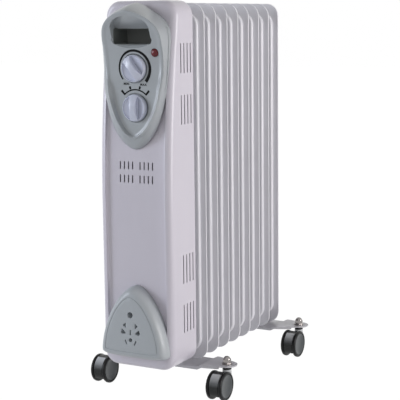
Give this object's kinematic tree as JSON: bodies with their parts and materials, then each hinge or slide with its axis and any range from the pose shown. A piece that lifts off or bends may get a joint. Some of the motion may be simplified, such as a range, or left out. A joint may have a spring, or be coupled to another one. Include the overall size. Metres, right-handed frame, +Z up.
{
  "type": "oil filled radiator heater",
  "caption": "Oil filled radiator heater: pressed steel fins behind a sheet steel control housing, grip, thermostat and power knobs, plug cover, bracket feet and swivel twin-wheel casters.",
  "frame": {"origin": "on the floor under the middle of the heater's bounding box", "axes": "+Z up, front with the controls towards -Y, +X to the right as seen from the front"},
  "size_m": [0.252, 0.4318, 0.6305],
  "materials": {
    "housing_enamel": "satin lilac-white enamel",
    "fin_enamel": "satin enamel",
    "bracket_enamel": "satin enamel",
    "bezel_plastic": "fine moulded grain, cool grey",
    "pocket_plastic": "dark moulded",
    "knob_plastic": "semi-gloss off-white",
    "lamp_red": "clear dark red lens",
    "ivory_plastic": "plain",
    "black_plastic": "plain",
    "brass": "machined",
    "hood_plastic": "dark grey, polished",
    "wheel_plastic": "dark tread with a grey dished face",
    "stem_black": "black",
    "chrome": "polished",
    "zinc_steel": "zinc plated"
  },
  "bodies": {
    "radiator": {"fin_1": "fin_enamel", "fin_2": "fin_enamel", "fin_3": "fin_enamel", "fin_4": "fin_enamel", "fin_5": "fin_enamel", "fin_6": "fin_enamel", "fin_7": "fin_enamel", "fin_8": "fin_enamel", "fin_9": "fin_enamel", "upper_collars": "fin_enamel", "lower_collars": "fin_enamel", "gallery_plugs": "fin_enamel", "heating_element": "zinc_steel", "element_flange": "brass", "thermal_cutouts": "black_plastic", "heat_shield": "zinc_steel", "housing_brackets": "zinc_steel", "housing_screws": "zinc_steel", "front_housing": "housing_enamel", "bezel": "bezel_plastic", "grip_pocket": "pocket_plastic", "plug_cover": "bezel_plastic", "thermostat": "ivory_plastic", "power_switch": "black_plastic", "lamp_holder": "ivory_plastic", "lamp_lens": "lamp_red", "terminal_block": "ivory_plastic", "wiring_loom": "black_plastic", "cord_inlet": "black_plastic", "front_foot": "bracket_enamel", "rear_foot": "bracket_enamel", "foot_clamps": "zinc_steel", "wing_nuts": "zinc_steel", "caster_stems": "stem_black", "cap_nuts": "chrome", "stem_washers": "chrome"},
    "caster_fr": {"hood_fr": "hood_plastic", "axle_fr": "zinc_steel"},
    "wheel_fr_left": {"wheel_fr_left": "wheel_plastic"},
    "wheel_fr_right": {"wheel_fr_right": "wheel_plastic"},
    "caster_fl": {"hood_fl": "hood_plastic", "axle_fl": "zinc_steel"},
    "wheel_fl_left": {"wheel_fl_left": "wheel_plastic"},
    "wheel_fl_right": {"wheel_fl_right": "wheel_plastic"},
    "caster_rr": {"hood_rr": "hood_plastic", "axle_rr": "zinc_steel"},
    "wheel_rr_left": {"wheel_rr_left": "wheel_plastic"},
    "wheel_rr_right": {"wheel_rr_right": "wheel_plastic"},
    "caster_rl": {"hood_rl": "hood_plastic", "axle_rl": "zinc_steel"},
    "wheel_rl_left": {"wheel_rl_left": "wheel_plastic"},
    "wheel_rl_right": {"wheel_rl_right": "wheel_plastic"},
    "thermostat_dial": {"thermostat_knob": "knob_plastic", "thermostat_spindle": "zinc_steel"},
    "power_dial": {"power_knob": "knob_plastic", "power_spindle": "zinc_steel"}
  },
  "joints": [
    {"name": "swivel_fr", "type": "hinge", "parent": "radiator", "child": "caster_fr", "pos_m": [0.109, -0.0896, 0.05], "axis": [0, 0, 1], "continuous": true},
    {"name": "spin_fr_left", "type": "hinge", "parent": "caster_fr", "child": "wheel_fr_left", "pos_m": [0.109, -0.1156, 0.0232], "axis": [1, 0, 0], "continuous": true},
    {"name": "spin_fr_right", "type": "hinge", "parent": "caster_fr", "child": "wheel_fr_right", "pos_m": [0.109, -0.1156, 0.0232], "axis": [1, 0, 0], "continuous": true},
    {"name": "swivel_fl", "type": "hinge", "parent": "radiator", "child": "caster_fl", "pos_m": [-0.109, -0.0896, 0.05], "axis": [0, 0, 1], "continuous": true},
    {"name": "spin_fl_left", "type": "hinge", "parent": "caster_fl", "child": "wheel_fl_left", "pos_m": [-0.109, -0.1156, 0.0232], "axis": [1, 0, 0], "continuous": true},
    {"name": "spin_fl_right", "type": "hinge", "parent": "caster_fl", "child": "wheel_fl_right", "pos_m": [-0.109, -0.1156, 0.0232], "axis": [1, 0, 0], "continuous": true},
    {"name": "swivel_rr", "type": "hinge", "parent": "radiator", "child": "caster_rr", "pos_m": [0.109, 0.1919, 0.05], "axis": [0, 0, 1], "continuous": true},
    {"name": "spin_rr_left", "type": "hinge", "parent": "caster_rr", "child": "wheel_rr_left", "pos_m": [0.109, 0.1659, 0.0232], "axis": [1, 0, 0], "continuous": true},
    {"name": "spin_rr_right", "type": "hinge", "parent": "caster_rr", "child": "wheel_rr_right", "pos_m": [0.109, 0.1659, 0.0232], "axis": [1, 0, 0], "continuous": true},
    {"name": "swivel_rl", "type": "hinge", "parent": "radiator", "child": "caster_rl", "pos_m": [-0.109, 0.1919, 0.05], "axis": [0, 0, 1], "continuous": true},
    {"name": "spin_rl_left", "type": "hinge", "parent": "caster_rl", "child": "wheel_rl_left", "pos_m": [-0.109, 0.1659, 0.0232], "axis": [1, 0, 0], "continuous": true},
    {"name": "spin_rl_right", "type": "hinge", "parent": "caster_rl", "child": "wheel_rl_right", "pos_m": [-0.109, 0.1659, 0.0232], "axis": [1, 0, 0], "continuous": true},
    {"name": "thermostat_turn", "type": "hinge", "parent": "radiator", "child": "thermostat_dial", "pos_m": [0.007, -0.1899, 0.5285], "axis": [0, 1, 0], "range_deg": [-92, 168]},
    {"name": "power_turn", "type": "hinge", "parent": "radiator", "child": "power_dial", "pos_m": [0.007, -0.1899, 0.4685], "axis": [0, 1, 0], "range_deg": [-45, 45]}
  ]
}
